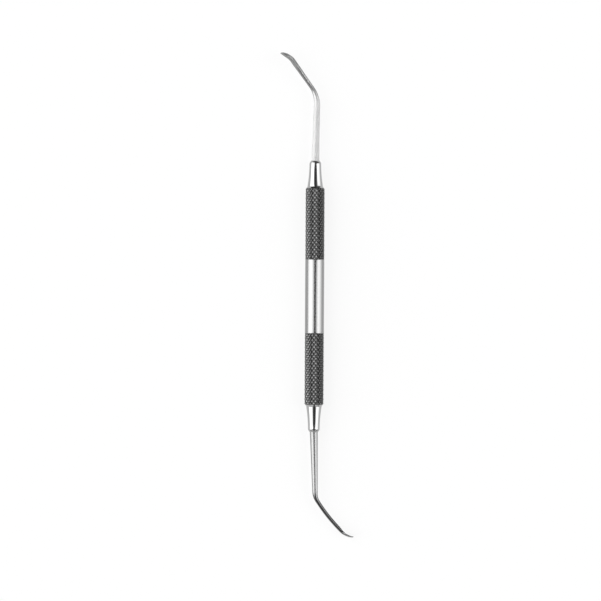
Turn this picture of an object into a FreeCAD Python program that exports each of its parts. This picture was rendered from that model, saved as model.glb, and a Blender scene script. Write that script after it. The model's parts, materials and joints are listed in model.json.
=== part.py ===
# Sinus lift curette, a double-ended hand instrument made of three steel pieces: a round knurled
# handle and, in a blind socket at each of its mouths, a forged working end with a cupped blade.
#
# Units are millimetres. The origin is the middle of the handle's axis, +Y runs along the handle to
# the upper end and +Z is up. The instrument lies on a flat surface: the handle on its plain grip
# band, rolled about its own axis until the lower blade's edge touches the surface too.
import FreeCAD, Part
import math
import os
import Sketcher
from FreeCAD import Placement, Rotation, Vector

os.makedirs("parts", exist_ok=True)
doc = FreeCAD.newDocument("sinus_lift_curette")
sheet = doc.addObject("Spreadsheet::Sheet", "Sizes")
size = {}


def dimension(name, number, meaning):
    """Write one driving dimension as a named cell, and keep its value for what is worked out here."""
    row = len(size) + 1
    sheet.set(f"A{row}", meaning)
    sheet.set(f"B{row}", str(number))
    sheet.setAlias(f"B{row}", name)
    size[name] = number


# Driving dimensions of the handle, in millimetres and degrees
dimension("handle_dia", 7.0, "outside of the plain grip band")
dimension("band_length", 27.0, "plain grip band in the middle")
dimension("knurl_length", 25.6, "each knurled band, up to its chamfer")
dimension("knurl_starts", 16, "grooves of each hand round the handle")
dimension("knurl_helix_angle", 38.6, "groove direction, measured from the axis")
dimension("knurl_depth", 0.32, "root of the grooves below the diamonds' points")
dimension("knurl_relief", 0.02, "points of the diamonds below the grip band")
dimension("chamfer_length", 1.1, "chamfer at the knurl's outer end, along the axis")
dimension("cone_base_dia", 5.72, "thick end of the cone, at the chamfer's foot")
dimension("cone_length", 8.1, "polished cone, along the axis")
dimension("cone_end_dia", 4.3, "thin end of the cone, where its shoulder starts")
dimension("cone_flare_radius", 55.0, "hollow curve of the cone's side")
dimension("shoulder_length", 1.3, "rounded shoulder, along the axis")
dimension("shoulder_radius", 1.6, "rounding of the shoulder")
dimension("mouth_dia", 3.1, "flat face of the mouth, which the shank's root seats on")

# The fit of a working end in its socket
dimension("tang_dia", 2.2, "tang of a working end")
dimension("tang_length", 12.0, "tang of a working end")
dimension("braze_gap", 0.05, "room for the braze round the tang")
dimension("socket_end_gap", 0.5, "room past the tang's end")
dimension("drill_point_angle", 118.0, "cone that the drill leaves at the socket's bottom")

# Driving dimensions of the upper working end
dimension("upper_root_dia", 2.95, "shank at the mouth")
dimension("upper_waist_dia", 2.55, "shank, a third of the way to the bend")
dimension("upper_bend_dia", 2.35, "shank where the bend starts")
dimension("upper_arm_dia", 1.5, "arm where the bend ends")
dimension("upper_neck_dia", 1.85, "arm at the heel of the blade")
dimension("upper_blade_width", 4.0, "blade across its widest place")
dimension("upper_blade_depth", 1.18, "blade from its face to its back at the widest place")
dimension("upper_tip_depth", 0.5, "blade from its face to its back at the tip")
dimension("upper_face_radius", 8.5, "hollow curve of the blade's face, seen from the side")
dimension("upper_face_lead", 0.5, "lowest place of that curve, in front of the tip's centreline")
dimension("upper_face_place", 0.6, "lowest place of that curve, back from the tip")
dimension("upper_lean", -1.45, "lean of the shank towards the hook's side")
dimension("upper_shank_run", 20.4, "shank from the mouth to the bend")
dimension("upper_bend_radius", 10.5, "bend on its centreline")
dimension("upper_bend_turn", 37.4, "angle of the bend")
dimension("upper_arm_run", 12.0, "arm from the bend to the blade's curve")
dimension("upper_arm_bow", 1.1, "angle that the arm turns through")
dimension("upper_blade_radius", 8.4, "blade's curve on its centreline")
dimension("upper_blade_turn", 27.0, "angle of the blade's curve")
dimension("upper_tip_run", 1.5, "straight last stretch of the blade")

# Driving dimensions of the lower working end
dimension("lower_root_dia", 2.95, "shank at the mouth")
dimension("lower_waist_dia", 2.6, "shank, a third of the way to the bend")
dimension("lower_bend_dia", 2.0, "shank where the bend starts")
dimension("lower_arm_dia", 1.42, "arm where the bend ends")
dimension("lower_neck_dia", 1.36, "arm at the heel of the blade")
dimension("lower_blade_width", 4.0, "blade across its widest place")
dimension("lower_blade_depth", 0.66, "blade from its face to its back at the widest place")
dimension("lower_tip_depth", 0.4, "blade from its face to its back at the tip")
dimension("lower_face_radius", 6.1, "hollow curve of the blade's face, seen from the side")
dimension("lower_face_lead", 0.08, "lowest place of that curve, in front of the tip's centreline")
dimension("lower_face_place", 0.0, "lowest place of that curve, back from the tip")
dimension("lower_lean", 1.5, "lean of the shank towards the hook's side")
dimension("lower_shank_run", 22.2, "shank from the mouth to the bend")
dimension("lower_bend_radius", 6.2, "bend on its centreline")
dimension("lower_bend_turn", 31.8, "angle of the bend")
dimension("lower_arm_run", 14.4, "arm from the bend to the blade's curve")
dimension("lower_arm_bow", 12.7, "angle that the arm turns through")
dimension("lower_blade_radius", 7.0, "blade's curve on its centreline")
dimension("lower_blade_turn", 37.7, "angle of the blade's curve")
dimension("lower_tip_run", 0.2, "straight last stretch of the blade")

# Driving dimensions that both blades share
dimension("blade_length", 5.0, "blade from its heel to its tip")
dimension("blade_peak", 2.2, "widest place of the blade, from its tip")
dimension("cup_place", 2.35, "deepest place of the cup, from the tip")
dimension("cup_depth", 0.35, "deepest place of the cup, below the face")
dimension("cup_height", 1.0, "half height of the grinding ball that makes the cup")
dimension("cup_reach", 2.0, "half length of that ball along the blade")
dimension("cup_spread", 2.2, "half width of that ball across the blade")
doc.recompute()

# How finely the working ends are drawn, and how square the end of a blade is
BEND_SECTIONS = 9
ARM_SECTIONS = 7
BLADE_SECTIONS = 17
CONTACT_STEPS = 200
SQUARE_TIP = 0.97

# Sizes that follow from the driving dimensions
handle_radius = size["handle_dia"] / 2
band_end = size["band_length"] / 2
knurl_end = band_end + size["knurl_length"]
chamfer_end = knurl_end + size["chamfer_length"]
cone_end = chamfer_end + size["cone_length"]
mouth_place = cone_end + size["shoulder_length"]
socket_radius = size["tang_dia"] / 2 + size["braze_gap"]
socket_bottom = mouth_place - size["tang_length"] - size["socket_end_gap"]
drill_point = socket_bottom - socket_radius / math.tan(math.radians(size["drill_point_angle"] / 2))

# Cell expressions of the same lengths, which the sketch is bound to
BAND_END = "Sizes.band_length / 2"
KNURL_END = f"{BAND_END} + Sizes.knurl_length"
CHAMFER_END = f"{KNURL_END} + Sizes.chamfer_length"
CONE_END = f"{CHAMFER_END} + Sizes.cone_length"
MOUTH_PLACE = f"{CONE_END} + Sizes.shoulder_length"
SOCKET_RADIUS = "Sizes.tang_dia / 2 + Sizes.braze_gap"
SOCKET_BOTTOM = f"{MOUTH_PLACE} - Sizes.tang_length - Sizes.socket_end_gap"
DRILL_POINT = f"{SOCKET_BOTTOM} - ({SOCKET_RADIUS}) / tan(Sizes.drill_point_angle / 2 * 1 deg)"


def side_arc(start, end, radius):
    """An arc that runs counterclockwise from start to end, shorter than a half circle."""
    chord = end - start
    half = chord.Length / 2
    across = Vector(-chord.y, chord.x, 0).normalize()
    centre = (start + end) * 0.5 + across * math.sqrt(radius ** 2 - half ** 2)
    first = math.atan2(start.y - centre.y, start.x - centre.x)
    last = math.atan2(end.y - centre.y, end.x - centre.x)
    if last < first:
        last += 2 * math.pi
    return Part.ArcOfCircle(Part.Circle(centre, Vector(0, 0, 1), radius), first, last)


def origin_plane(body, role):
    """The body's own origin plane with this role."""
    return next(plane for plane in body.Origin.OriginFeatures if plane.Role == role)


# Handle, turned: half its outline and one socket, revolved about the axis and mirrored
blank = doc.addObject("PartDesign::Body", "handle_blank")
outline = blank.newObject("Sketcher::SketchObject", "half_outline")
outline.AttachmentSupport = (origin_plane(blank, "XY_Plane"), [""])
outline.MapMode = "FlatFace"

axis_middle = Vector(0, 0, 0)
band_rim = Vector(handle_radius, 0, 0)
knurl_rim = Vector(handle_radius, knurl_end, 0)
cone_base = Vector(size["cone_base_dia"] / 2, chamfer_end, 0)
cone_tip = Vector(size["cone_end_dia"] / 2, cone_end, 0)
mouth_rim = Vector(size["mouth_dia"] / 2, mouth_place, 0)
socket_rim = Vector(socket_radius, mouth_place, 0)
socket_corner = Vector(socket_radius, socket_bottom, 0)
socket_point = Vector(0, drill_point, 0)

middle_line = outline.addGeometry(Part.LineSegment(axis_middle, band_rim))
side_line = outline.addGeometry(Part.LineSegment(band_rim, knurl_rim))
chamfer_line = outline.addGeometry(Part.LineSegment(knurl_rim, cone_base))
flare_arc = outline.addGeometry(side_arc(cone_tip, cone_base, size["cone_flare_radius"]))
shoulder_arc = outline.addGeometry(side_arc(cone_tip, mouth_rim, size["shoulder_radius"]))
mouth_line = outline.addGeometry(Part.LineSegment(mouth_rim, socket_rim))
socket_line = outline.addGeometry(Part.LineSegment(socket_rim, socket_corner))
drill_line = outline.addGeometry(Part.LineSegment(socket_corner, socket_point))
axis_line = outline.addGeometry(Part.LineSegment(socket_point, axis_middle))

START = 1
END = 2
for first, first_end, second, second_end in (
    (middle_line, END, side_line, START),
    (side_line, END, chamfer_line, START),
    (chamfer_line, END, flare_arc, END),
    (flare_arc, START, shoulder_arc, START),
    (shoulder_arc, END, mouth_line, START),
    (mouth_line, END, socket_line, START),
    (socket_line, END, drill_line, START),
    (drill_line, END, axis_line, START),
    (axis_line, END, middle_line, START),
):
    outline.addConstraint(Sketcher.Constraint("Coincident", first, first_end, second, second_end))
ORIGIN_POINT = -1
outline.addConstraint(Sketcher.Constraint("Coincident", middle_line, START, ORIGIN_POINT, START))
outline.addConstraint(Sketcher.Constraint("Horizontal", middle_line))
outline.addConstraint(Sketcher.Constraint("Vertical", side_line))
outline.addConstraint(Sketcher.Constraint("Horizontal", mouth_line))
outline.addConstraint(Sketcher.Constraint("Vertical", socket_line))
outline.addConstraint(Sketcher.Constraint("Vertical", axis_line))


def bind(name, kind, line, line_end, value, expression):
    """Hold one end of a line at this distance from the origin along X or Y, bound to the cells."""
    number = outline.addConstraint(
        Sketcher.Constraint(kind, ORIGIN_POINT, START, line, line_end, value))
    outline.renameConstraint(number, name)
    outline.setExpression(f"Constraints.{name}", expression)


bind("band_radius", "DistanceX", middle_line, END, handle_radius, "Sizes.handle_dia / 2")
bind("knurl_end", "DistanceY", side_line, END, knurl_end, KNURL_END)
bind("cone_base_radius", "DistanceX", chamfer_line, END, cone_base.x, "Sizes.cone_base_dia / 2")
bind("chamfer_end", "DistanceY", chamfer_line, END, chamfer_end, CHAMFER_END)
bind("cone_end_radius", "DistanceX", flare_arc, START, cone_tip.x, "Sizes.cone_end_dia / 2")
bind("cone_end", "DistanceY", flare_arc, START, cone_end, CONE_END)
bind("mouth_radius", "DistanceX", mouth_line, START, mouth_rim.x, "Sizes.mouth_dia / 2")
bind("mouth_place", "DistanceY", mouth_line, START, mouth_place, MOUTH_PLACE)
bind("socket_radius", "DistanceX", socket_line, START, socket_radius, SOCKET_RADIUS)
bind("socket_bottom", "DistanceY", socket_line, END, socket_bottom, SOCKET_BOTTOM)
bind("drill_point", "DistanceY", drill_line, END, drill_point, DRILL_POINT)
for name, arc, alias in (("flare", flare_arc, "cone_flare_radius"),
                         ("shoulder", shoulder_arc, "shoulder_radius")):
    number = outline.addConstraint(Sketcher.Constraint("Radius", arc, size[alias]))
    outline.renameConstraint(number, name)
    outline.setExpression(f"Constraints.{name}", f"Sizes.{alias}")
doc.recompute()

turned_half = blank.newObject("PartDesign::Revolution", "turned_half")
turned_half.Profile = outline
turned_half.ReferenceAxis = (outline, ["V_Axis"])
turned_half.Angle = 360
blank.Tip = turned_half
doc.recompute()

both_halves = blank.newObject("PartDesign::Mirrored", "both_halves")
both_halves.Originals = [turned_half]
both_halves.MirrorPlane = (origin_plane(blank, "XZ_Plane"), [""])
blank.Tip = both_halves
doc.recompute()


def lattice_point(radius, turn, along):
    """A point of the knurl: its distance from the axis, its angle and its place along the axis."""
    return Vector(radius * math.sin(turn), along, radius * math.cos(turn))


def knurling_die():
    """The space that the knurling takes away between the grip band and the upper chamfer's foot.

    It is a ring whose inside is the knurl itself: diamond pyramids with four flat flanks each,
    whose points stand on rings half a pitch apart and whose feet meet in the grooves' crossings.
    """
    starts = int(size["knurl_starts"])
    half_step = math.pi / starts
    pitch = 2 * half_step * handle_radius / math.tan(math.radians(size["knurl_helix_angle"]))
    rows = math.ceil((chamfer_end - band_end) / (pitch / 2))
    point_radius = handle_radius - size["knurl_relief"]
    root_radius = point_radius - size["knurl_depth"]
    rim_radius = handle_radius / math.cos(half_step) + 2 * size["knurl_depth"]

    def along(row):
        return band_end + min(row * pitch / 2, chamfer_end - band_end)

    def node(row, column):
        """Points and crossings take turns along a row and from row to row."""
        radius = point_radius if (row + column) % 2 else root_radius
        return lattice_point(radius, column * half_step, along(row))

    def rim(row, column):
        return lattice_point(rim_radius, column * half_step, along(row))

    faces = []

    def facet(*corners):
        faces.append(Part.Face(Part.makePolygon([*corners, corners[0]])))

    for column in range(2 * starts):
        facet(node(0, column), node(0, column + 1), rim(0, column + 1), rim(0, column))
        facet(node(rows, column + 1), node(rows, column), rim(rows, column), rim(rows, column + 1))
        facet(rim(0, column), rim(0, column + 1), rim(rows, column + 1), rim(rows, column))
        for row in range(rows):
            low, next_low = node(row, column), node(row, column + 1)
            high, next_high = node(row + 1, column), node(row + 1, column + 1)
            if (row + column) % 2:
                facet(low, next_low, high)
                facet(next_low, next_high, high)
            else:
                facet(low, next_low, next_high)
                facet(low, next_high, high)
    die = Part.makeSolid(Part.makeShell(faces))
    if die.Volume < 0:
        die.reverse()
    return die


def centreline(end):
    """Stretches of a working end's centreline as pairs of a length and the angle turned through."""
    bend_turn = math.radians(size[f"{end}_bend_turn"])
    blade_turn = math.radians(size[f"{end}_blade_turn"])
    return [
        (size[f"{end}_shank_run"], 0.0),
        (size[f"{end}_bend_radius"] * bend_turn, bend_turn),
        (size[f"{end}_arm_run"], math.radians(size[f"{end}_arm_bow"])),
        (size[f"{end}_blade_radius"] * blade_turn, blade_turn),
        (size[f"{end}_tip_run"], 0.0),
    ]


def tip_travel(end):
    """Length of the centreline from the mouth to the tip."""
    return sum(length for length, turn in centreline(end))


def station(end, travel):
    """Centre and heading of the centreline after this travel from the mouth.

    The end is drawn pointing up along +Y with its hook towards -X; the heading is the angle from
    +Y. An arc of radius r adds r (cos a - cos b) sideways and r (sin b - sin a) upwards.
    """
    sideways = 0.0
    upwards = mouth_place
    heading = math.radians(size[f"{end}_lean"])
    for length, turn in centreline(end):
        done = min(max(travel, 0.0), length)
        travel -= length
        angle = turn * done / length
        if turn:
            radius = length / turn
            sideways += radius * (math.cos(heading) - math.cos(heading + angle))
            upwards += radius * (math.sin(heading + angle) - math.sin(heading))
        else:
            sideways += done * math.sin(heading)
            upwards += done * math.cos(heading)
        heading += angle
    return Vector(-sideways, upwards, 0), heading


def ahead(heading):
    """Direction of the centreline at this heading."""
    return Vector(-math.sin(heading), math.cos(heading), 0)


def hookwards(heading):
    """Direction square to the centreline, towards the inside of the hook: a blade faces this way."""
    return Vector(-math.cos(heading), -math.sin(heading), 0)


def face_centre(end):
    """Centre of the hollow curve that the blade's face follows, in the plane of the hook."""
    centre, heading = station(end, tip_travel(end))
    reach = size[f"{end}_face_radius"] + size[f"{end}_face_lead"]
    return centre - ahead(heading) * size[f"{end}_face_place"] + hookwards(heading) * reach


def face_lead(end, travel):
    """How far in front of the centreline the blade's face lies here."""
    centre, heading = station(end, travel)
    reach = face_centre(end) - centre
    rise = math.sqrt(size[f"{end}_face_radius"] ** 2 - reach.dot(ahead(heading)) ** 2)
    return reach.dot(hookwards(heading)) - rise


def blade_share(end, travel):
    """Width of the blade as a share of its widest place, without the neck's part.

    From the widest place to the tip it is the side of a rounded square, the cube root of one less
    the cube of the way gone; from the heel to the widest place it swells along a smooth step.
    """
    peak = tip_travel(end) - size["blade_peak"]
    if travel > peak:
        gone = (travel - peak) / size["blade_peak"]
        return max(1 - (SQUARE_TIP * gone) ** 3, 0.0) ** (1 / 3)
    heel = tip_travel(end) - size["blade_length"]
    gone = (travel - heel) / (peak - heel)
    return gone ** 2 * (3 - 2 * gone)


def blend(first, second, share):
    """Cell expression of a size that lies this share of the way from one size to another."""
    return f"({first}) * {1 - share:.5f} + ({second}) * {share:.5f}"


def rod_section(end, travel):
    """Radius of the shank, bend and arm here, with even tapers between named places."""
    bend_start = size[f"{end}_shank_run"]
    bend_end = bend_start + size[f"{end}_bend_radius"] * math.radians(size[f"{end}_bend_turn"])
    places = (
        (0.0, f"Sizes.{end}_root_dia / 2"),
        (bend_start / 3, f"Sizes.{end}_waist_dia / 2"),
        (bend_start, f"Sizes.{end}_bend_dia / 2"),
        (bend_end, f"Sizes.{end}_arm_dia / 2"),
        (tip_travel(end) - size["blade_length"], f"Sizes.{end}_neck_dia / 2"),
    )
    for (start, radius), (stop, next_radius) in zip(places, places[1:]):
        if travel <= stop:
            break
    return blend(radius, next_radius, (travel - start) / (stop - start))


def blade_section(end, travel):
    """Shift of the oval section towards the face, its half depth and its half width here.

    At the heel the oval is the arm's round section. From the widest place on its middle lies in the
    face, so that the half behind the face is the blade.
    """
    heel = tip_travel(end) - size["blade_length"]
    peak = tip_travel(end) - size["blade_peak"]
    share = blade_share(end, travel)
    if travel > peak:
        gone = (travel - peak) / size["blade_peak"]
        depth = blend(f"Sizes.{end}_blade_depth", f"Sizes.{end}_tip_depth", gone)
        return face_lead(end, travel), depth, f"Sizes.{end}_blade_width / 2 * {share:.5f}"
    shift = face_lead(end, travel) * share
    back = f"Sizes.{end}_blade_depth - {face_lead(end, peak):.5f}"
    depth = blend(f"Sizes.{end}_neck_dia / 2", back, (travel - heel) / (peak - heel))
    half_width = blend(f"Sizes.{end}_neck_dia / 2", f"Sizes.{end}_blade_width / 2", share)
    return shift, f"{shift:.5f} + {depth}", half_width


def even(first, last, count):
    """Evenly spaced travels after the first one, up to the last one."""
    return [first + (last - first) * number / count for number in range(1, count + 1)]


def drawn_end(end):
    """The shank, bend, arm and blade: straight strips between oval sections along the centreline."""
    tip = tip_travel(end)
    heel = tip - size["blade_length"]
    bend_start = size[f"{end}_shank_run"]
    bend_end = bend_start + size[f"{end}_bend_radius"] * math.radians(size[f"{end}_bend_turn"])
    travels = [0.0, bend_start / 3, bend_start]
    travels += even(bend_start, bend_end, BEND_SECTIONS)
    travels += even(bend_end, heel, ARM_SECTIONS)
    travels += even(heel, tip, BLADE_SECTIONS)
    rings = []
    for number, travel in enumerate(travels):
        centre, heading = station(end, travel)
        if travel == 0:
            heading = 0.0
        if travel > heel:
            shift, depth, half_width = blade_section(end, travel)
        else:
            shift, depth = 0.0, rod_section(end, travel)
            half_width = depth
        wide = Vector(0, 0, 1)
        along = ahead(heading)
        ring = doc.addObject("Part::Ellipse", f"{end}_section_{number}")
        ring.setExpression("MinorRadius", depth)
        ring.setExpression("MajorRadius", half_width)
        ring.Placement = Placement(centre + hookwards(heading) * shift,
                                   Rotation(wide, along.cross(wide), along, "ZXY"))
        rings.append(ring)
    loft = doc.addObject("Part::Loft", f"{end}_drawn_end")
    loft.Sections = rings
    loft.Solid = True
    loft.Ruled = True
    return loft


def working_end(end, place):
    """One working end: tang, tapered shank, bend, arm, and a blade with its face ground and cupped."""
    tang = doc.addObject("Part::Cylinder", f"{end}_tang")
    tang.setExpression("Radius", "Sizes.tang_dia / 2")
    tang.setExpression("Height", "Sizes.tang_length")
    tang.Placement = Placement(Vector(0, mouth_place, 0), Rotation(Vector(1, 0, 0), 90))

    forging = doc.addObject("Part::MultiFuse", f"{end}_forging")
    forging.Shapes = [tang, drawn_end(end)]

    middle = face_centre(end)
    wheel = doc.addObject("Part::Cylinder", f"{end}_face_wheel")
    wheel.setExpression("Radius", f"Sizes.{end}_face_radius")
    wheel.setExpression("Height", f"Sizes.{end}_blade_width * 2")
    wheel.Placement = Placement(middle - Vector(0, 0, size[f"{end}_blade_width"]), Rotation())
    ground = doc.addObject("Part::Cut", f"{end}_ground_end")
    ground.Base = forging
    ground.Tool = wheel

    cup_travel = tip_travel(end) - size["cup_place"]
    centre, heading = station(end, cup_travel)
    floor = centre + hookwards(heading) * face_lead(end, cup_travel)
    towards_wheel = (middle - floor).normalize()
    ball = doc.addObject("Part::Ellipsoid", f"{end}_cup_ball")
    ball.setExpression("Radius1", "Sizes.cup_height")
    ball.setExpression("Radius2", "Sizes.cup_spread")
    ball.setExpression("Radius3", "Sizes.cup_reach")
    wide = Vector(0, 0, 1)
    ball.Placement = Placement(floor + towards_wheel * (size["cup_height"] - size["cup_depth"]),
                               Rotation(wide, towards_wheel.cross(wide), towards_wheel, "ZXY"))

    finished = doc.addObject("Part::Cut", f"{end}_working_end")
    finished.Base = ground
    finished.Tool = ball
    finished.Placement = place
    return finished


def lowest_reach(end, roll):
    """How far below the handle's axis a blade's edge reaches when its hook is rolled downwards."""
    deepest = 0.0
    for step in range(CONTACT_STEPS + 1):
        travel = tip_travel(end) - size["blade_peak"] * step / CONTACT_STEPS
        centre, heading = station(end, travel)
        edge = centre + hookwards(heading) * face_lead(end, travel)
        half_width = size[f"{end}_blade_width"] / 2 * blade_share(end, travel)
        deepest = max(deepest, -edge.x * math.sin(roll) + half_width * math.cos(roll))
    return deepest


def rest_roll(end):
    """The roll, in degrees, at which this blade's edge touches the surface under the handle."""
    low, high = 0.0, math.radians(45)
    for halving in range(40):
        middle = (low + high) / 2
        if lowest_reach(end, middle) < handle_radius:
            low = middle
        else:
            high = middle
    return math.degrees(low)


roll = rest_roll("lower")
lying = Placement(Vector(0, 0, 0), Rotation(Vector(0, 1, 0), roll))
half_turn = Placement(Vector(0, 0, 0), Rotation(Vector(0, 0, 1), 180))

# Handle, knurled: the blank less one die's space at each side of the grip band
upper_die = doc.addObject("Part::Feature", "upper_knurling_die")
upper_die.Shape = knurling_die()
lower_die = doc.addObject("Part::Feature", "lower_knurling_die")
lower_die.Shape = upper_die.Shape
lower_die.Placement = half_turn
dies = doc.addObject("Part::Compound", "knurling_dies")
dies.Links = [upper_die, lower_die]
handle = doc.addObject("Part::Cut", "handle")
handle.Base = blank
handle.Tool = dies
handle.Placement = lying

upper_end = working_end("upper", lying)
lower_end = working_end("lower", lying * half_turn)
doc.recompute()

NODES = (handle, upper_end, lower_end)
for item in doc.Objects:
    if "Invalid" in item.State or "Error" in item.State:
        raise RuntimeError(f"{item.Name} failed: {item.State}")
for node in NODES:
    if node.Shape.isNull() or not node.Shape.isValid() or len(node.Shape.Solids) != 1:
        raise RuntimeError(f"{node.Name} isn't one valid solid")

for node in NODES:
    node.Label = node.Name
    node.Shape.exportStep(f"parts/{node.Label}.step")
    box = node.Shape.optimalBoundingBox()
    print(f"{node.Label}: {node.Shape.Volume:.1f} mm3, {len(node.Shape.Faces)} faces, "
          f"x {box.XMin:.2f} to {box.XMax:.2f}, y {box.YMin:.2f} to {box.YMax:.2f}, "
          f"z {box.ZMin:.2f} to {box.ZMax:.2f}")
steel = sum(node.Shape.Volume for node in NODES)
centre = sum((node.Shape.Solids[0].CenterOfMass * node.Shape.Volume for node in NODES), Vector(0, 0, 0))
print(f"rolled {roll:.2f} degrees; centre of mass x {centre.x / steel:.3f}, y {centre.y / steel:.3f}, "
      f"z {centre.z / steel:.3f}")
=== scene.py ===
# %% [markdown]
# A sinus lift curette, finished in steel
#
# The instrument is three pieces of stainless steel that are fixed together: a round knurled handle
# and a thin working end in each of its mouths. The solids with their real sizes are loaded first,
# as a frame that nothing here moves. What follows gives each surface the form and the finish that
# it has on the real instrument, then sets the floor, the light and the camera.

# %% Load the frame
import json
import math

import bpy
import numpy as np
from mathutils import Matrix, Vector


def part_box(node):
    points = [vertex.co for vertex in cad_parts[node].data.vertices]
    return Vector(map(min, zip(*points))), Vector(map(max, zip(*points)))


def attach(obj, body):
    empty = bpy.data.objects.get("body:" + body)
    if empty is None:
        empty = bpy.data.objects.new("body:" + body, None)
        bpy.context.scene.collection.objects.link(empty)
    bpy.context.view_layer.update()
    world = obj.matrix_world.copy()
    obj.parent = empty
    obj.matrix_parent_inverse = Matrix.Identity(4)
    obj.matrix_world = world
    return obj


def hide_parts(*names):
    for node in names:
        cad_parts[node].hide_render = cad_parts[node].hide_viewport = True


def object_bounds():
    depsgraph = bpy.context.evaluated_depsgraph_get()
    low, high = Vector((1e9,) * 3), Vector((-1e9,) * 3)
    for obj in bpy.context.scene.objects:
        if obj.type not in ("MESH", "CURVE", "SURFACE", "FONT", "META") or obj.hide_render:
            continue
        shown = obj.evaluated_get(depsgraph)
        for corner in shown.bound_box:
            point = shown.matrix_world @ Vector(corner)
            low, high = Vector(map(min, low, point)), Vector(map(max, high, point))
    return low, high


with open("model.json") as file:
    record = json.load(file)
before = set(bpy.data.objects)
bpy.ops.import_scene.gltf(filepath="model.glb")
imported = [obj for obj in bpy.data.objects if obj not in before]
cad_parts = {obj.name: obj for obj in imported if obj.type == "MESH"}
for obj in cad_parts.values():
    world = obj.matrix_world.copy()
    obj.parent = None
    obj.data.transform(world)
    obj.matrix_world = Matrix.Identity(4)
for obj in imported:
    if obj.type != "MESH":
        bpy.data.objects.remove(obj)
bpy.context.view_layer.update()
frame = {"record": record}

MM = 0.001

# %% [markdown]
# The handle starts as a round bar. It is turned to its outline, a diamond knurl is rolled into two
# long bands, and the plain grip band and the two cones are polished. The solid has flat facets and
# knife-sharp edges there. A polished edge is never quite sharp: a rounding of a tenth of a
# millimetre is what catches the light, so the surface is worked out again here with soft edges.
#
# The grip band's radius and length and the mouth's place are read from the frame. The other sizes
# are the handle's own, written once in millimetres. They follow the solid's surfaces, and only the
# knurl stands a few hundredths of a millimetre higher.

# %% Sizes of the handle
grip_band = next(m for m in frame["record"]["mounts"] if m["name"] == "grip_band")
BAND_RADIUS = grip_band["dims"]["r_mm"]
BAND_END = grip_band["dims"]["length_mm"] / 2
KNURL_END = BAND_END + 25.6
CHAMFER_END = KNURL_END + 1.1
CONE_END = CHAMFER_END + 8.1
MOUTH_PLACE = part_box("handle")[1].y / MM
CONE_BASE_RADIUS = 2.86
CONE_END_RADIUS = 2.15
FLARE_RADIUS = 55.0
SHOULDER_RADIUS = 1.6
MOUTH_RADIUS = 1.55
SOCKET_RADIUS = 1.15
SOCKET_BOTTOM = MOUTH_PLACE - 12.5
DRILL_POINT = SOCKET_BOTTOM - SOCKET_RADIUS / math.tan(math.radians(118 / 2))
SOFT_EDGE = 0.12
print("band radius", BAND_RADIUS, " half band", BAND_END, " mouth at", round(MOUTH_PLACE, 2))

# %% [markdown]
# An outline is a row of points, each a distance from the axis and a place along it. Three helpers
# make it. The first gives an arc between two points. The second walks along a curve by its own
# length, so that a stretch can be cut back a little at each end. The third joins stretches by small
# curves that leave each one without a kink, and these are the soft edges.

# %% Helpers for outlines
def arc(start, end, radius, count=40):
    """Points of the shorter arc from start to end that turns anticlockwise.

    The centre is the chord's middle moved left by sqrt(radius^2 - (chord / 2)^2), and each point is
    centre + radius (cos a, sin a), for an angle a that runs evenly from the start's to the end's.
    """
    start, end = np.array(start, float), np.array(end, float)
    chord = end - start
    length = np.linalg.norm(chord)
    left = np.array([-chord[1], chord[0]]) / length
    centre = (start + end) / 2 + left * math.sqrt(radius ** 2 - (length / 2) ** 2)
    first = math.atan2(start[1] - centre[1], start[0] - centre[0])
    last = math.atan2(end[1] - centre[1], end[0] - centre[0])
    if last < first:
        last += 2 * math.pi
    angles = np.linspace(first, last, count)
    return centre + radius * np.stack([np.cos(angles), np.sin(angles)], axis=1)


def travelled(curve):
    """Length walked along a curve up to each of its points."""
    return np.concatenate([[0.0], np.cumsum(np.linalg.norm(np.diff(curve, axis=0), axis=1))])


def stretch(curve, cut_start, cut_end, count):
    """The same curve with a length cut off each end, as points evenly spaced along its length."""
    travel = travelled(curve)
    along = np.linspace(cut_start, travel[-1] - cut_end, count)
    return np.stack([np.interp(along, travel, curve[:, k]) for k in (0, 1)], axis=1)


def soft_outline(curves, counts, edge, edge_points=4):
    """Join curves end to end, and round each corner between them.

    A corner P between the cut-back ends A and B becomes the curve
    (1 - t)^2 A + 2 t (1 - t) P + t^2 B, for t from 0 to 1. A cut is as long as the edge, and never
    longer than three tenths of its curve.
    """
    t = np.linspace(0, 1, edge_points + 2)[1:-1, None]
    last = len(curves) - 1
    joined = []
    for number, (curve, count) in enumerate(zip(curves, counts)):
        curve = np.array(curve, float)
        cut = min(edge, 0.3 * travelled(curve)[-1])
        piece = stretch(curve, cut if number else 0.0, cut if number < last else 0.0, count)
        if number:
            joined.append((1 - t) ** 2 * joined[-1][-1] + 2 * t * (1 - t) * curve[0] + t ** 2 * piece[0])
        joined.append(piece)
    return np.concatenate(joined)


# %% [markdown]
# The knurl is two sets of straight V grooves that wind round the bar, one to the left and one to
# the right. Between them stand small pyramids with four flat flanks. Written in the grooves' own
# two coordinates, each set is a triangle wave, and the surface is the lower of the two waves.
# The points of a rolled knurl are a little blunt and its roots a little round, so the wave is
# bent over softly near its top and its bottom. Rolling also pushes the steel outwards, so the points
# stand a little above the plain band.

# %% Knurl
GROOVES = 16
HELIX_ANGLE = math.radians(38.6)
KNURL_DEPTH = 0.32
KNURL_RISE = 0.06
KNURL_RADIUS = BAND_RADIUS + KNURL_RISE
BLUNTNESS = 0.10
FINENESS = 6
COLUMNS = 2 * GROOVES * FINENESS
HALF_STEP = math.pi / GROOVES
HALF_PITCH = HALF_STEP * BAND_RADIUS / math.tan(HELIX_ANGLE)
print("knurl pitch along the axis, in mm:", round(2 * HALF_PITCH, 3))


def triangle_wave(turns):
    """0 at whole numbers, 1 half way between them, straight in between."""
    return 1 - np.abs(2 * (turns - np.floor(turns)) - 1)


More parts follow.
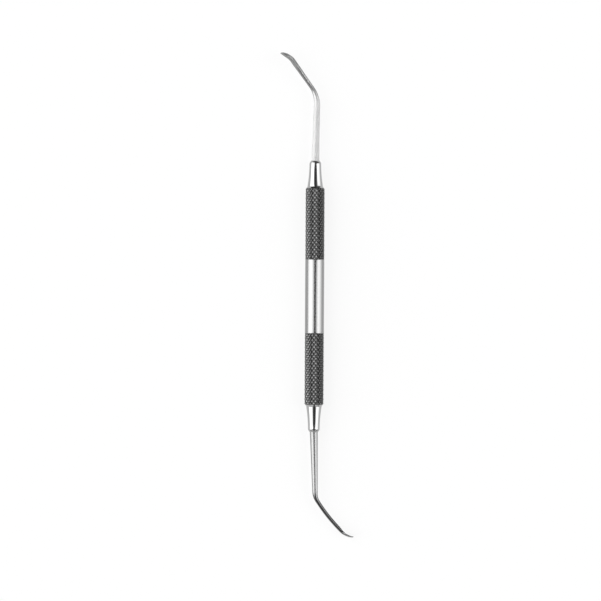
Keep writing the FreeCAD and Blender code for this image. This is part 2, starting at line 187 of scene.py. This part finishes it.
def knurled_radius(place, angle):
    """Distance from the axis of the knurled surface at these places and angles.

    With s half pitches along the bar and c half steps round it, the grooves of the two sets run
    where s - c and s + c are even numbers. The height h is the lower of the triangle waves of
    (s - c) / 2 and (s + c) / 2. Its point is blunted as h (1 - b h^7) and its root rounded as
    sqrt(h^2 + b^2 / 4), where b is the bluntness as a share of the depth.
    """
    s = (place - BAND_END) / HALF_PITCH
    c = angle / HALF_STEP
    height = np.minimum(triangle_wave((s - c) / 2), triangle_wave((s + c) / 2))
    height = height * (1 - BLUNTNESS * height ** 7)
    height = np.sqrt(height ** 2 + BLUNTNESS ** 2 / 4)
    return KNURL_RADIUS - KNURL_DEPTH * (1 - height)


# %% [markdown]
# Half of the handle, from the middle outwards, is turned to one outline: the full bar, a chamfer,
# the flared cone, its rounded shoulder, the flat mouth and the blind socket inside it. The rows of
# the knurled stretch are spaced to match the knurl, and there the surface is the lower of the knurl
# and the outline. One row of the grip band lies close to its rounded edge, so that the smooth shading
# of the edge doesn't spread over the band. The other half is the same rows after half a turn about
# the upright axis.

# %% Handle's surface
cone_base = (CONE_BASE_RADIUS, CHAMFER_END)
cone_tip = (CONE_END_RADIUS, CONE_END)
mouth_rim = (MOUTH_RADIUS, MOUTH_PLACE)
socket_rim = (SOCKET_RADIUS, MOUTH_PLACE)
socket_corner = (SOCKET_RADIUS, SOCKET_BOTTOM)
outline = soft_outline(
    [
        [(KNURL_RADIUS, BAND_END), (KNURL_RADIUS, KNURL_END)],
        [(KNURL_RADIUS, KNURL_END), cone_base],
        arc(cone_tip, cone_base, FLARE_RADIUS)[::-1],
        arc(cone_tip, mouth_rim, SHOULDER_RADIUS),
        [mouth_rim, socket_rim],
        [socket_rim, socket_corner],
        [socket_corner, (0.0, DRILL_POINT)],
    ],
    [2, 2, 24, 10, 2, 4, 4],
    SOFT_EDGE)
angles = np.arange(COLUMNS) * 2 * math.pi / COLUMNS

edge_turn = np.linspace(0, math.pi / 2, 6)
flat_places = [0.0, BAND_END / 2, BAND_END - 3 * SOFT_EDGE]
band_places = np.concatenate([flat_places, BAND_END - SOFT_EDGE * (1 - np.sin(edge_turn))])
edge_radii = BAND_RADIUS - SOFT_EDGE * (1 - np.cos(edge_turn))
band_radii = np.concatenate([[BAND_RADIUS] * len(flat_places), edge_radii])

knurl_rows = int((CHAMFER_END - SOFT_EDGE - BAND_END) / HALF_PITCH * FINENESS)
knurl_places = BAND_END + np.arange(1, knurl_rows + 1) * HALF_PITCH / FINENESS
cone_start = int(np.argmax(outline[:, 1] > knurl_places[-1]))
turned_radii = np.interp(knurl_places, outline[:cone_start + 1, 1], outline[:cone_start + 1, 0])
knurl_radii = np.minimum(knurled_radius(knurl_places[:, None], angles), turned_radii[:, None])
band_radii = np.repeat(band_radii[:, None], COLUMNS, axis=1)
band_radii[-1] = np.minimum(band_radii[-1], knurled_radius(BAND_END, angles))
cone_radii = np.repeat(outline[cone_start:-1, :1], COLUMNS, axis=1)

half_places = np.concatenate([band_places, knurl_places, outline[cone_start:-1, 1]])
half_radii = np.concatenate([band_radii, knurl_radii, cone_radii])
turned_over = (-np.arange(COLUMNS)) % COLUMNS
places = np.concatenate([half_places[::-1], -half_places[1:]])
radii = np.concatenate([half_radii[::-1], half_radii[1:, turned_over]])
print("rows", len(places), " columns", COLUMNS, " triangles", 2 * len(places) * COLUMNS)

# %% [markdown]
# Every piece here is a closed surface through rings of points, in millimetres. The instrument lies
# on a table, rolled a little about its own axis until the lower blade's edge touches the table too.
# The surfaces are shaded as smooth, and only folds steeper than a set angle stay sharp edges, such as
# the ridges of the knurl's pyramids.

# %% Closed surfaces
ROLL = math.radians(6.45)


def lie_down(points):
    """Turn points by the roll about the Y axis: x' = x cos r + z sin r and z' = z cos r - x sin r."""
    x, y, z = np.moveaxis(np.array(points, float), -1, 0)
    return np.stack([x * math.cos(ROLL) + z * math.sin(ROLL), y,
                     z * math.cos(ROLL) - x * math.sin(ROLL)], axis=-1)


def closed_surface(name, rings, heights, first_point, last_point):
    """A mesh through rings of points, with a fan of triangles from each end ring to one point.

    Each cell between two rings is split along the diagonal whose ends lie lower together, so a
    groove that crosses the cell keeps a straight bottom.
    """
    rows, columns = heights.shape
    points = np.concatenate([rings.reshape(-1, 3), [first_point, last_point]])
    row, column = np.meshgrid(np.arange(rows - 1), np.arange(columns), indexing="ij")
    beside = (column + 1) % columns
    a, b = row * columns + column, row * columns + beside
    c, d = b + columns, a + columns
    low = heights[row, column] + heights[row + 1, beside] <= heights[row, beside] + heights[row + 1, column]
    one = np.where(low[..., None], np.stack([a, b, c], 2), np.stack([a, b, d], 2))
    two = np.where(low[..., None], np.stack([a, c, d], 2), np.stack([b, c, d], 2))
    ring = np.arange(columns)
    next_ring = (ring + 1) % columns
    first_fan = np.stack([np.full(columns, rows * columns), next_ring, ring], 1)
    last_row = (rows - 1) * columns
    last_fan = np.stack([np.full(columns, rows * columns + 1), last_row + ring, last_row + next_ring], 1)
    faces = np.concatenate([one.reshape(-1, 3), two.reshape(-1, 3), first_fan, last_fan])
    mesh = bpy.data.meshes.new(name)
    mesh.from_pydata((lie_down(points) * MM).tolist(), [], faces.tolist())
    mesh.shade_smooth()
    piece = bpy.data.objects.new(name, mesh)
    bpy.context.scene.collection.objects.link(piece)
    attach(piece, "root")
    print(name, "triangles:", len(faces))
    return piece


rings = np.stack([radii * np.sin(angles), np.repeat(places[:, None], COLUMNS, 1), radii * np.cos(angles)], 2)
handle = closed_surface("knurled_handle", rings, radii, (0, DRILL_POINT, 0), (0, -DRILL_POINT, 0))
handle.data.set_sharp_from_angle(angle=math.radians(35))
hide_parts("handle")

# %% [markdown]
# A working end is forged from round bar: a tang inside the socket, a tapered shank, one bend and a
# thin arm. Its centreline is a chain of straight and curved stretches. Each has a length and an angle
# that it turns through, in degrees. The two ends differ only in their sizes:
#
# - lean is the centreline's angle at the mouth.
# - diameters are the bar's at the mouth, at a third of the shank, at both ends of the bend and at the
#   blade's heel.
# - depths are the half depths of the blade's oval, at its widest place and at its tip.
# - face_radius is the grinding wheel's radius. Its middle stands face_place behind the tip, and there
#   the face lies face_lead in front of the centreline.

# %% Working ends: sizes and centreline
TANG_RADIUS = 1.1
TANG_LENGTH = 12.0
BLADE_LENGTH = 5.0
BLADE_PEAK = 2.2
BLADE_HALF_WIDTH = 2.0
TAPER_BLEND = 1.2

UPPER = {
    "lean": -1.45,
    "lengths": [20.4, 10.5 * math.radians(37.4), 12.0, 8.4 * math.radians(27.0), 1.5],
    "turns": [0.0, 37.4, 1.1, 27.0, 0.0],
    "diameters": [2.95, 2.55, 2.35, 1.5, 1.85],
    "depths": [1.18, 0.5],
    "face_radius": 8.5,
    "face_lead": 0.5,
    "face_place": 0.6,
}
LOWER = {
    "lean": 1.5,
    "lengths": [22.2, 6.2 * math.radians(31.8), 14.4, 7.0 * math.radians(37.7), 0.2],
    "turns": [0.0, 31.8, 12.7, 37.7, 0.0],
    "diameters": [2.95, 2.6, 2.0, 1.42, 1.36],
    "depths": [0.66, 0.4],
    "face_radius": 6.1,
    "face_lead": 0.08,
    "face_place": 0.0,
}


def centreline(end, travel):
    """Point (x, y) and heading of the centreline after this travel from the mouth.

    The heading is measured from +Y and grows evenly along each stretch. The point is the mouth's
    plus the sum of many small steps (-sin heading, cos heading).
    """
    breaks = np.concatenate([[0.0], np.cumsum(end["lengths"])])
    turned = np.radians(end["lean"] + np.concatenate([[0.0], np.cumsum(end["turns"])]))
    fine = np.linspace(0, breaks[-1], 6001)
    heading = np.interp(fine, breaks, turned)
    middle = (heading[1:] + heading[:-1]) / 2
    steps = np.stack([-np.sin(middle), np.cos(middle)]) * fine[1]
    x, y = np.concatenate([[[0.0], [MOUTH_PLACE]], steps], axis=1).cumsum(axis=1)
    point = np.stack([np.interp(travel, fine, x), np.interp(travel, fine, y)], -1)
    return point, np.interp(travel, fine, heading)


def rod_radius(end, travel):
    """Radius of the bar: even tapers, averaged over a short stretch so that they meet without a kink."""
    tip = sum(end["lengths"])
    bend_start, bend_end = end["lengths"][0], sum(end["lengths"][:2])
    stops = [0.0, bend_start / 3, bend_start, bend_end, tip - BLADE_LENGTH]
    shifts = np.linspace(-TAPER_BLEND, TAPER_BLEND, 9)
    return np.mean([np.interp(travel + shift, stops, end["diameters"]) for shift in shifts], axis=0) / 2


# %% [markdown]
# The blade is a small spade. Its back is half an oval. Its face is ground hollow along the blade on a
# wheel, and then a ball grinds a round cup into it, which leaves a rim. The surface is the lower of
# the oval and the face. Near their crossing it bends softly from one to the other, so that the rim is
# a narrow rounding.

# %% Working ends: blade
CUP_PLACE = 2.35
CUP_DEPTH = 0.35
CUP_HEIGHT = 1.0
CUP_REACH = 2.0
CUP_SPREAD = 2.2
RIM_ROUNDING = 0.12


def soft_lower(first, second, rounding):
    """The lower of two heights, rounded where they cross: (a + b - sqrt((a - b)^2 + e^2)) / 2."""
    return (first + second - np.sqrt((first - second) ** 2 + rounding ** 2)) / 2


def face_height(end, travel):
    """Height of the ground face above the centreline: a circle's arc, seen from the side.

    Where the wheel's middle lies f ahead of a point on the centreline and u above it, the height is
    u - sqrt(R^2 - f^2), with R the wheel's radius.
    """
    tip_point, tip_heading = centreline(end, sum(end["lengths"]))
    ahead = np.array([-math.sin(tip_heading), math.cos(tip_heading)])
    hookwards = np.array([-math.cos(tip_heading), -math.sin(tip_heading)])
    wheel = tip_point - ahead * end["face_place"] + hookwards * (end["face_radius"] + end["face_lead"])
    point, heading = centreline(end, travel)
    reach = wheel - point
    forward = -reach[..., 0] * np.sin(heading) + reach[..., 1] * np.cos(heading)
    upward = -reach[..., 0] * np.cos(heading) - reach[..., 1] * np.sin(heading)
    return upward - np.sqrt(np.maximum(end["face_radius"] ** 2 - forward ** 2, 0))


def end_section(end, travel, angle):
    """Height above the centreline and distance across it, for each travel (rows) and angle (columns).

    Before the heel the section is the round bar. From there to the blade's widest place its middle
    rises into the face while it grows wide along the smooth step g^2 (3 - 2 g), where g is the share
    of the way gone, and its back follows halfway between that step and a straight line. Past it, the
    half width is the cube root of 1 - p^3, where p is the share gone to the tip, and this draws a
    rounded square. The cup is the deeper of the face and the ball, again with a soft crossing.
    """
    tip = sum(end["lengths"])
    heel, peak = tip - BLADE_LENGTH, tip - BLADE_PEAK
    radius = rod_radius(end, travel)
    face = face_height(end, travel)
    gone = np.clip((travel - heel) / (peak - heel), 0, 1)
    past = np.clip((travel - peak) / (tip - peak), 0, 1)
    swell = gone ** 2 * (3 - 2 * gone)
    narrowing = np.cbrt(1 - past ** 3)
    half_width = (radius * (1 - swell) + BLADE_HALF_WIDTH * swell) * narrowing
    eased = (gone + swell) / 2
    back = radius * (1 - eased) + (end["depths"][0] - face_height(end, peak)) * eased
    middle = np.where(travel > heel, face * swell, 0)
    depth = np.where(past > 0, end["depths"][0] * (1 - past) + end["depths"][1] * past, middle + back)
    depth = depth * np.sqrt(1 - past ** 8)

    across = half_width[:, None] * np.sin(angle)
    oval = middle[:, None] - depth[:, None] * np.cos(angle)
    along_cup = (travel - (tip - CUP_PLACE))[:, None]
    ball = CUP_HEIGHT * np.sqrt(np.maximum(1 - (along_cup / CUP_REACH) ** 2 - (across / CUP_SPREAD) ** 2, 0))
    rise = along_cup ** 2 / (2 * end["face_radius"])
    cup = -soft_lower(0, -(ball - (CUP_HEIGHT - CUP_DEPTH) + rise * (ball > 0)), RIM_ROUNDING)
    return soft_lower(oval, face[:, None] - cup, RIM_ROUNDING), across


# %% [markdown]
# Each working end is one closed surface. Its first rings are the tang and the small seat on which the
# shank stands in the mouth, and the drawn sections of shank, arm and blade follow. The lower end is
# made as the upper one is, and then takes half a turn about the handle's upright axis.

# %% Working ends: surfaces
SEAT_HEIGHT = 0.4
SEAT_EDGE = 0.08
SHANK_START = 0.6
END_COLUMNS = 128
SHANK_ROWS = 90
HEEL_ROWS = 40
BLADE_ROWS = 36


def working_end(name, end, half_turn):
    """One working end as a closed surface, from the tang's end to the blade's tip.

    The blade's rows lie at the sine of an evenly growing angle, so they crowd where it rounds off.
    """
    tip = sum(end["lengths"])
    heel, peak = tip - BLADE_LENGTH, tip - BLADE_PEAK
    print(name, "reaches", round(tip, 1), "mm past the mouth, along its centreline")
    angle = np.arange(END_COLUMNS) * 2 * math.pi / END_COLUMNS
    root = end["diameters"][0] / 2
    tang_end = MOUTH_PLACE - TANG_LENGTH
    turned = soft_outline(
        [
            [(0.0, tang_end), (TANG_RADIUS, tang_end)],
            [(TANG_RADIUS, tang_end), (TANG_RADIUS, MOUTH_PLACE)],
            [(TANG_RADIUS, MOUTH_PLACE), (root, MOUTH_PLACE)],
            [(root, MOUTH_PLACE), (root, MOUTH_PLACE + SEAT_HEIGHT)],
        ],
        [2, 2, 2, 2],
        SEAT_EDGE)[1:]
    travel = np.concatenate([
        np.linspace(SHANK_START, heel, SHANK_ROWS, endpoint=False),
        np.linspace(heel, peak, HEEL_ROWS, endpoint=False),
        peak + BLADE_PEAK * np.sin(np.linspace(0, math.pi / 2, BLADE_ROWS, endpoint=False)),
    ])
    point, heading = centreline(end, travel)
    height, across = end_section(end, travel, angle)
    point = np.concatenate([np.stack([np.zeros(len(turned)), turned[:, 1]], 1), point])
    heading = np.concatenate([np.zeros(len(turned)), heading])
    height = np.concatenate([-turned[:, :1] * np.cos(angle), height])
    across = np.concatenate([turned[:, :1] * np.sin(angle), across])
    rings = np.stack([
        point[:, :1] - height * np.cos(heading)[:, None],
        point[:, 1:] - height * np.sin(heading)[:, None],
        across,
    ], 2)
    first_point = np.array([0.0, tang_end, 0.0])
    last_point = rings[-1].mean(axis=0)
    if half_turn:
        rings, first_point, last_point = (part * [-1, -1, 1] for part in (rings, first_point, last_point))
    return closed_surface(name, rings, np.zeros(height.shape), first_point, last_point)


ends = {
    "upper_working_end": working_end("upper_tip", UPPER, False),
    "lower_working_end": working_end("lower_tip", LOWER, True),
}
for node, piece in ends.items():
    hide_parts(node)
    piece.data.set_sharp_from_angle(angle=math.radians(50))

# %% [markdown]
# All surfaces are stainless steel, and they differ only in how they were finished. A polished face
# reflects the lamps and the dark room between them as sharp bands. A satin face blurs them to a soft
# grey. Each pattern reads the object's own coordinates in millimetres, so its grain has a real size.

# %% Helpers for node materials
def linear(hex_colour):
    """The linear colour of an sRGB hex value such as "C8C8C6"."""
    channels = [int(hex_colour[k:k + 2], 16) / 255 for k in (0, 2, 4)]
    return [c / 12.92 if c <= 0.04045 else ((c + 0.055) / 1.055) ** 2.4 for c in channels] + [1.0]


def add_node(tree, kind, sockets=(), **settings):
    """Add one node, set its settings, and fill its sockets: a socket is linked, a value is set."""
    node = tree.nodes.new(kind)
    for name, value in settings.items():
        setattr(node, name, value)
    for name, value in dict(sockets).items():
        if isinstance(value, bpy.types.NodeSocket):
            tree.links.new(value, node.inputs[name])
        else:
            node.inputs[name].default_value = value
    return node


def combine(tree, operation, first, second=0.0, third=0.0):
    """One sum, product or other function of up to three numbers."""
    inputs = {0: first, 1: second, 2: third}
    return add_node(tree, "ShaderNodeMath", inputs, operation=operation).outputs[0]


def graded(tree, number, stops):
    """A level from 0 to 1 for each value of a number: straight lines between (value, level) stops."""
    low, high = stops[0][0], stops[-1][0]
    share = add_node(tree, "ShaderNodeMapRange", {"Value": number, "From Min": low, "From Max": high})
    ramp = add_node(tree, "ShaderNodeValToRGB", {"Fac": share.outputs[0]})
    elements = ramp.color_ramp.elements
    elements[0].position, elements[1].position = 0.0, 1.0
    for value, _ in stops[1:-1]:
        elements.new((value - low) / (high - low))
    for element, (value, level) in zip(elements, stops):
        element.color = (level, level, level, 1.0)
    return ramp.outputs["Color"]


def millimetres(tree):
    """The object's own coordinates, in millimetres."""
    place = add_node(tree, "ShaderNodeTexCoord").outputs["Object"]
    return add_node(tree, "ShaderNodeVectorMath", {0: place, "Scale": 1 / MM}, operation="SCALE").outputs[0]


def noise(tree, place, per_mm, detail=2.0):
    """Random grain from 0 to 1, with this many grains per millimetre along X, Y and Z."""
    grains = add_node(tree, "ShaderNodeVectorMath", {0: place, 1: per_mm}, operation="MULTIPLY").outputs[0]
    settings = {"Vector": grains, "Scale": 1.0, "Detail": detail}
    return add_node(tree, "ShaderNodeTexNoise", settings).outputs["Fac"]


def blend(tree, share, first, second):
    """The colour that goes from the first to the second as the share goes from 0 to 1."""
    node = add_node(tree, "ShaderNodeMix", {0: share, 6: first, 7: second}, data_type="RGBA")
    return node.outputs[2]


def steel(name):
    """An empty steel material: its node tree and its surface, which the caller finishes."""
    material = bpy.data.materials.new(name)
    material.use_nodes = True
    surface = material.node_tree.nodes["Principled BSDF"]
    surface.inputs["Metallic"].default_value = 1.0
    return material, material.node_tree, surface


# %% [markdown]
# The handle has three finishes. The cones are buffed to a mirror. The grip band keeps the fine rings
# of the lathe, which soften the reflections a little. The knurl was rolled and never polished, and
# its dull finish reaches half a millimetre on to the chamfer. Its grooves are painted darker as shade.

# %% Handle's finishes
RING_GRAIN = (0.15, 9.0, 0.15)
SMUDGE_GRAIN = (0.25, 0.12, 0.25)
SMUDGE_SHARE = 0.05
SPOT_GRAIN = (1.1, 1.1, 1.1)
# Painted shade: the grooves' colour is dark for the shade that falls in them, and the points are lighter.
GROOVE_SHADE_COLOUR = "323232"
POINT_COLOUR = "A8A8A8"
GROOVE_ROUGHNESS = 0.34
POINT_ROUGHNESS = 0.20
DULL_END = KNURL_END + 0.5


def turned_steel(name, colour, roughness, ring_share):
    """Polished steel with lathe rings.

    The roughness is the given one, plus ring_share (rings - 1 / 2) from ring to ring along the axis,
    plus a twentieth of some wide smudges.
    """
    material, tree, surface = steel(name)
    place = millimetres(tree)
    rings = noise(tree, place, RING_GRAIN)
    smudges = noise(tree, place, SMUDGE_GRAIN)
    rough = combine(tree, "MULTIPLY_ADD", rings, ring_share, roughness - ring_share / 2)
    rough = combine(tree, "MULTIPLY_ADD", smudges, SMUDGE_SHARE, rough)
    tree.links.new(rough, surface.inputs["Roughness"])
    surface.inputs["Base Color"].default_value = linear(colour)
    return material


def knurled_steel(name):
    """Painted shade in the grooves: dark dull steel there, which turns lighter and smoother towards the
    points, where the steel is also lighter from wear.

    The lightening grows with the distance from the axis, sqrt(x^2 + z^2), from 0 at the grooves' roots
    to about 3/4 at the points, and it differs from spot to spot.
    """
    material, tree, surface = steel(name)
    place = millimetres(tree)
    parts = add_node(tree, "ShaderNodeSeparateXYZ", {"Vector": place})
    squares = combine(tree, "MULTIPLY", parts.outputs["X"], parts.outputs["X"])
    squares = combine(tree, "MULTIPLY_ADD", parts.outputs["Z"], parts.outputs["Z"], squares)
    radius = combine(tree, "SQRT", squares)
    root = KNURL_RADIUS - KNURL_DEPTH
    # Painted shade: the colour darkens from the points down to the grooves' roots.
    light_and_wear = graded(tree, radius, [(root, 0.0), (root + 0.10, 0.25), (root + 0.26, 0.6), (root + 0.33, 1.0)])
    spots = noise(tree, place, SPOT_GRAIN)
    light_and_wear = combine(tree, "MULTIPLY", light_and_wear, combine(tree, "MULTIPLY_ADD", spots, 1.0, 0.5))
    colour = blend(tree, light_and_wear, linear(GROOVE_SHADE_COLOUR), linear(POINT_COLOUR))
    tree.links.new(colour, surface.inputs["Base Color"])
    rough = combine(tree, "MULTIPLY_ADD", light_and_wear, POINT_ROUGHNESS - GROOVE_ROUGHNESS, GROOVE_ROUGHNESS)
    tree.links.new(rough, surface.inputs["Roughness"])
    return material


finishes = [
    # A near mirror: the lamps' edges stay sharp, and the cones look almost white beside a black line.
    turned_steel("buffed stainless steel", colour="ACACAC", roughness=0.09, ring_share=0.02),
    # The lathe's rings spread each reflection a little, so the band's dark line has soft edges.
    turned_steel("finely turned stainless steel", colour="989898", roughness=0.2, ring_share=0.12),
    # Painted shade darkens the pits between the bright points, which from afar read as one rough grey.
    knurled_steel("knurled stainless steel"),
]
for finish in finishes:
    handle.data.materials.append(finish)
centres = np.empty(3 * len(handle.data.polygons), np.float32)
handle.data.polygons.foreach_get("center", centres)
from_middle = np.abs(centres[1::3]) / MM
zone = np.select([from_middle < BAND_END, from_middle < DULL_END], [1, 2], 0)
handle.data.polygons.foreach_set("material_index", zone.astype(np.int32))
for number, finish in enumerate(finishes):
    print(finish.name, "faces:", int((zone == number).sum()))

# %% [markdown]
# The two working ends were not finished alike. The upper shank is satin, and its colour is also
# painted almost white, a painted light, while the lower one is smoother and shows a soft dark line.
# From the bend on, both arms are darker, a painted shade in their colour. The blades are honed again
# on their own, with a slightly mottled surface, and come out lighter.

# %% Working ends' finishes
BEND_PLACE = MOUTH_PLACE + 23.0
DRAWN_GRAIN = (6.0, 0.5, 6.0)
DRAWN_SHARE = 0.08
PATCH_GRAIN = (0.9, 0.9, 0.9)


def forged_steel(name, heel_place, shank, arm, blade, mottle):
    """Steel in three finishes, each a (colour, roughness), that blend at the bend and at the heel.

    The blends are 4.5 mm and 3 mm long. The grain runs along the instrument and adds to the roughness.
    The colours are partly painted light and shade: each part is set lighter or darker for how the
    light falls on it.
    The colour of the arm and the blade is multiplied by 1 + mottle (patches - 1 / 2), in patches of
    about a millimetre.
    """
    material, tree, surface = steel(name)
    place = millimetres(tree)
    along = combine(tree, "ABSOLUTE", add_node(tree, "ShaderNodeSeparateXYZ", {0: place}).outputs["Y"])
    past_bend = graded(tree, along, [(BEND_PLACE - 2.0, 0.0), (BEND_PLACE + 2.5, 1.0)])
    past_heel = graded(tree, along, [(heel_place - 1.5, 0.0), (heel_place + 1.5, 1.0)])
    grain = noise(tree, place, DRAWN_GRAIN)
    patches = noise(tree, place, PATCH_GRAIN, detail=3.0)
    # Painted light and shade: the colour of each part is set lighter or darker for how the light falls on
    # it.
    colour = blend(tree, past_bend, linear(shank[0]), linear(arm[0]))
    colour = blend(tree, past_heel, colour, linear(blade[0]))
    shade = combine(tree, "MULTIPLY", combine(tree, "SUBTRACT", patches, 0.5), past_bend)
    shade = combine(tree, "MULTIPLY_ADD", shade, mottle, 1.0)
    shaded = add_node(tree, "ShaderNodeVectorMath", {0: colour, "Scale": shade}, operation="SCALE")
    tree.links.new(shaded.outputs[0], surface.inputs["Base Color"])
    rough = combine(tree, "MULTIPLY_ADD", past_bend, arm[1] - shank[1], shank[1])
    rough = combine(tree, "MULTIPLY_ADD", past_heel, blade[1] - arm[1], rough)
    rough = combine(tree, "MULTIPLY_ADD", grain, DRAWN_SHARE, rough)
    tree.links.new(rough, surface.inputs["Roughness"])
    return material


# So rough that the shank mirrors nothing, and its colour is painted pale as light, so the eye sees a
# plain pale grey, lighter than the handle. The arm is painted darker as shade.
satin = forged_steel(
    "satin stainless steel", heel_place=MOUTH_PLACE + 33.5,
    shank=("DADADA", 0.72), arm=("A8A8A8", 0.23), blade=("989898", 0.5), mottle=0.5)
# Smooth enough to mirror the gap between the lamps, which draws a soft dark line down the shank. The
# arm is painted dark as shade, and the blade's colour starts late so that this painted shade also
# keeps the heel dark and hides a glint there.
ground = forged_steel(
    "ground stainless steel", heel_place=MOUTH_PLACE + 38.2,
    shank=("989898", 0.3), arm=("5E5E5E", 0.17), blade=("8C8C8C", 0.35), mottle=0.4)
for node, finish in (("upper_working_end", satin), ("lower_working_end", ground)):
    ends[node].data.materials.append(finish)
    print(node, "is", finish.name)

# %% [markdown]
# The instrument lies on a sheet of white paper, which touches its lowest points and takes its soft
# shadow. For the camera and for reflections, most of the paper's brightness is its own glow, at the
# strength of plain white. This gives the pure white of the photograph, with no more light on the
# instrument. The sheet reaches three metres to each side, far past the picture's edges.

# %% Paper
PAPER_LIFT = 0.85
PAPER_REACH = 3.0
sheet_mesh = bpy.data.meshes.new("paper")
paper_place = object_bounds()[0].z
corners = [(x * PAPER_REACH, y * PAPER_REACH, paper_place) for x, y in ((-1, -1), (1, -1), (1, 1), (-1, 1))]
sheet_mesh.from_pydata(corners, [], [(0, 1, 2, 3)])
paper = bpy.data.objects.new("paper", sheet_mesh)
bpy.context.scene.collection.objects.link(paper)
white = bpy.data.materials.new("white paper")
white.use_nodes = True
tree = white.node_tree
sheet = tree.nodes["Principled BSDF"]
sheet.inputs["Base Color"].default_value = linear("F8F8F8")
sheet.inputs["Roughness"].default_value = 0.9
rays = add_node(tree, "ShaderNodeLightPath").outputs
seen = combine(tree, "ADD", rays["Is Camera Ray"], rays["Is Glossy Ray"])
seen = combine(tree, "ADD", seen, rays["Is Transmission Ray"])
glow = add_node(tree, "ShaderNodeEmission", {"Strength": 1.0})
share = combine(tree, "MULTIPLY", seen, PAPER_LIFT)
mixed = add_node(tree, "ShaderNodeMixShader", {0: share, 1: sheet.outputs[0], 2: glow.outputs[0]})
tree.links.new(mixed.outputs[0], tree.nodes["Material Output"].inputs["Surface"])
sheet_mesh.materials.append(white)

# %% [markdown]
# The light is a dark room with a large lamp at each side of the instrument. Between the lamps stays a
# dark gap, straight above, and it draws the dark line along each round part. Seen from the
# instrument, X is sideways and Y is along it, and a lamp's brightness is the product of three ramps:
# one that leaves the gap free, one that fades towards the lamp's outer edge, and one that fades along
# the instrument.
#
# The gap is dark up to 6 degrees from its middle, and the lamps are at their full strength from 13
# degrees. So it is right across the instrument, where the grip band reflects it. A little further
# along, where the cones reflect it, it is three times as wide. The lamps are bright where the handle
# reflects them and weak further along, so that an arm, which points away from the handle's direction,
# has one light flank and a dark one.

# %% Light
LAMPS = 3.35
ROOM = 0.07
GAP_DARK = 6
GAP_LIGHT = 13
world = bpy.data.worlds.new("studio")
bpy.context.scene.world = world
world.use_nodes = True
tree = world.node_tree
direction = add_node(tree, "ShaderNodeTexCoord").outputs["Generated"]
parts = add_node(tree, "ShaderNodeSeparateXYZ", {"Vector": direction}).outputs
sideways = combine(tree, "MULTIPLY", combine(tree, "ARCTAN2", parts["X"], parts["Z"]), math.degrees(1))
narrowness = graded(tree, parts["Y"], [
    (-1.0, 0.5), (-0.4, 0.5), (-0.3, 0.31), (-0.12, 0.31), (-0.045, 0.42), (-0.02, 1.0),
    (0.02, 1.0), (0.04, 0.42), (0.12, 0.31), (0.3, 0.31), (0.4, 0.5), (1.0, 0.5)])
from_gap = combine(tree, "ABSOLUTE", combine(tree, "MULTIPLY", sideways, narrowness))
beside_gap = graded(tree, from_gap, [(GAP_DARK, 0.0), (GAP_LIGHT, 1.0)])
outwards = graded(tree, sideways, [
    (-110, 0.3), (-91, 0.68), (-75, 0.9), (-67, 1.0), (50, 0.95), (65, 0.72), (80, 0.5), (100, 0.2)])
lower_half = [(-1.0, 0.3), (-0.75, 0.3), (-0.6, 0.05), (-0.42, 0.05), (-0.3, 1.0)]
left_length = graded(tree, parts["Y"], lower_half + [(0.58, 1.0), (0.68, 0.0), (1.0, 0.0)])
right_length = graded(tree, parts["Y"], lower_half + [(0.27, 1.0), (0.36, 0.05), (0.65, 0.05), (1.0, 0.0)])
side = graded(tree, parts["X"], [(-0.05, 0.0), (0.05, 1.0)])
lengthways = add_node(tree, "ShaderNodeMix", {"Factor": side, "A": left_length, "B": right_length})
lamps = combine(tree, "MULTIPLY", beside_gap, outwards)
lamps = combine(tree, "MULTIPLY", lamps, lengthways.outputs["Result"])
strength = combine(tree, "MULTIPLY_ADD", lamps, LAMPS, ROOM)
rays = add_node(tree, "ShaderNodeLightPath").outputs
shown = add_node(tree, "ShaderNodeMix", {"Factor": rays["Is Camera Ray"], "A": strength, "B": 1.0})
tree.links.new(shown.outputs["Result"], tree.nodes["Background"].inputs["Strength"])
tree.nodes["Background"].inputs["Color"].default_value = (1, 1, 1, 1)

# %% [markdown]
# The camera looks almost straight down from far away, as the photograph does, a little from the
# left. One picture element of the photograph is 0.366 mm on the instrument, found from the full
# length, and that gives the picture's width. The target lies some picture elements left of the
# handle's middle and below it, which puts the instrument where the photograph has it.

# %% Camera
PICTURE_SIZE = 601
PICTURE_STEP = 0.366 * MM
STEPS_RIGHT = -14.07
STEPS_UP = -4.1
FILM_WIDTH = 36.0
DISTANCE = 1.5
TILT = math.radians(5.5)
TURN = math.radians(0.33)
back = Vector((-math.sin(TILT), 0, math.cos(TILT)))
level = Vector((math.cos(TILT), 0, math.sin(TILT)))
along = Vector((0, 1, 0))
right = level * math.cos(TURN) + along * math.sin(TURN)
up = along * math.cos(TURN) - level * math.sin(TURN)
target = (right * STEPS_RIGHT + up * STEPS_UP) * PICTURE_STEP
camera_data = bpy.data.cameras.new("camera")
camera_data.sensor_width = FILM_WIDTH
camera_data.lens = FILM_WIDTH * DISTANCE / (PICTURE_SIZE * PICTURE_STEP)
camera_data.clip_start = 0.05
camera_data.clip_end = 20.0
camera = bpy.data.objects.new("camera", camera_data)
bpy.context.scene.collection.objects.link(camera)
facing = Matrix((right, up, back)).transposed().to_4x4()
camera.matrix_world = Matrix.Translation(target + back * DISTANCE) @ facing
bpy.context.scene.camera = camera
bpy.context.scene.view_settings.view_transform = "Standard"
print("picture width, in mm:", round(PICTURE_SIZE * PICTURE_STEP / MM, 1))
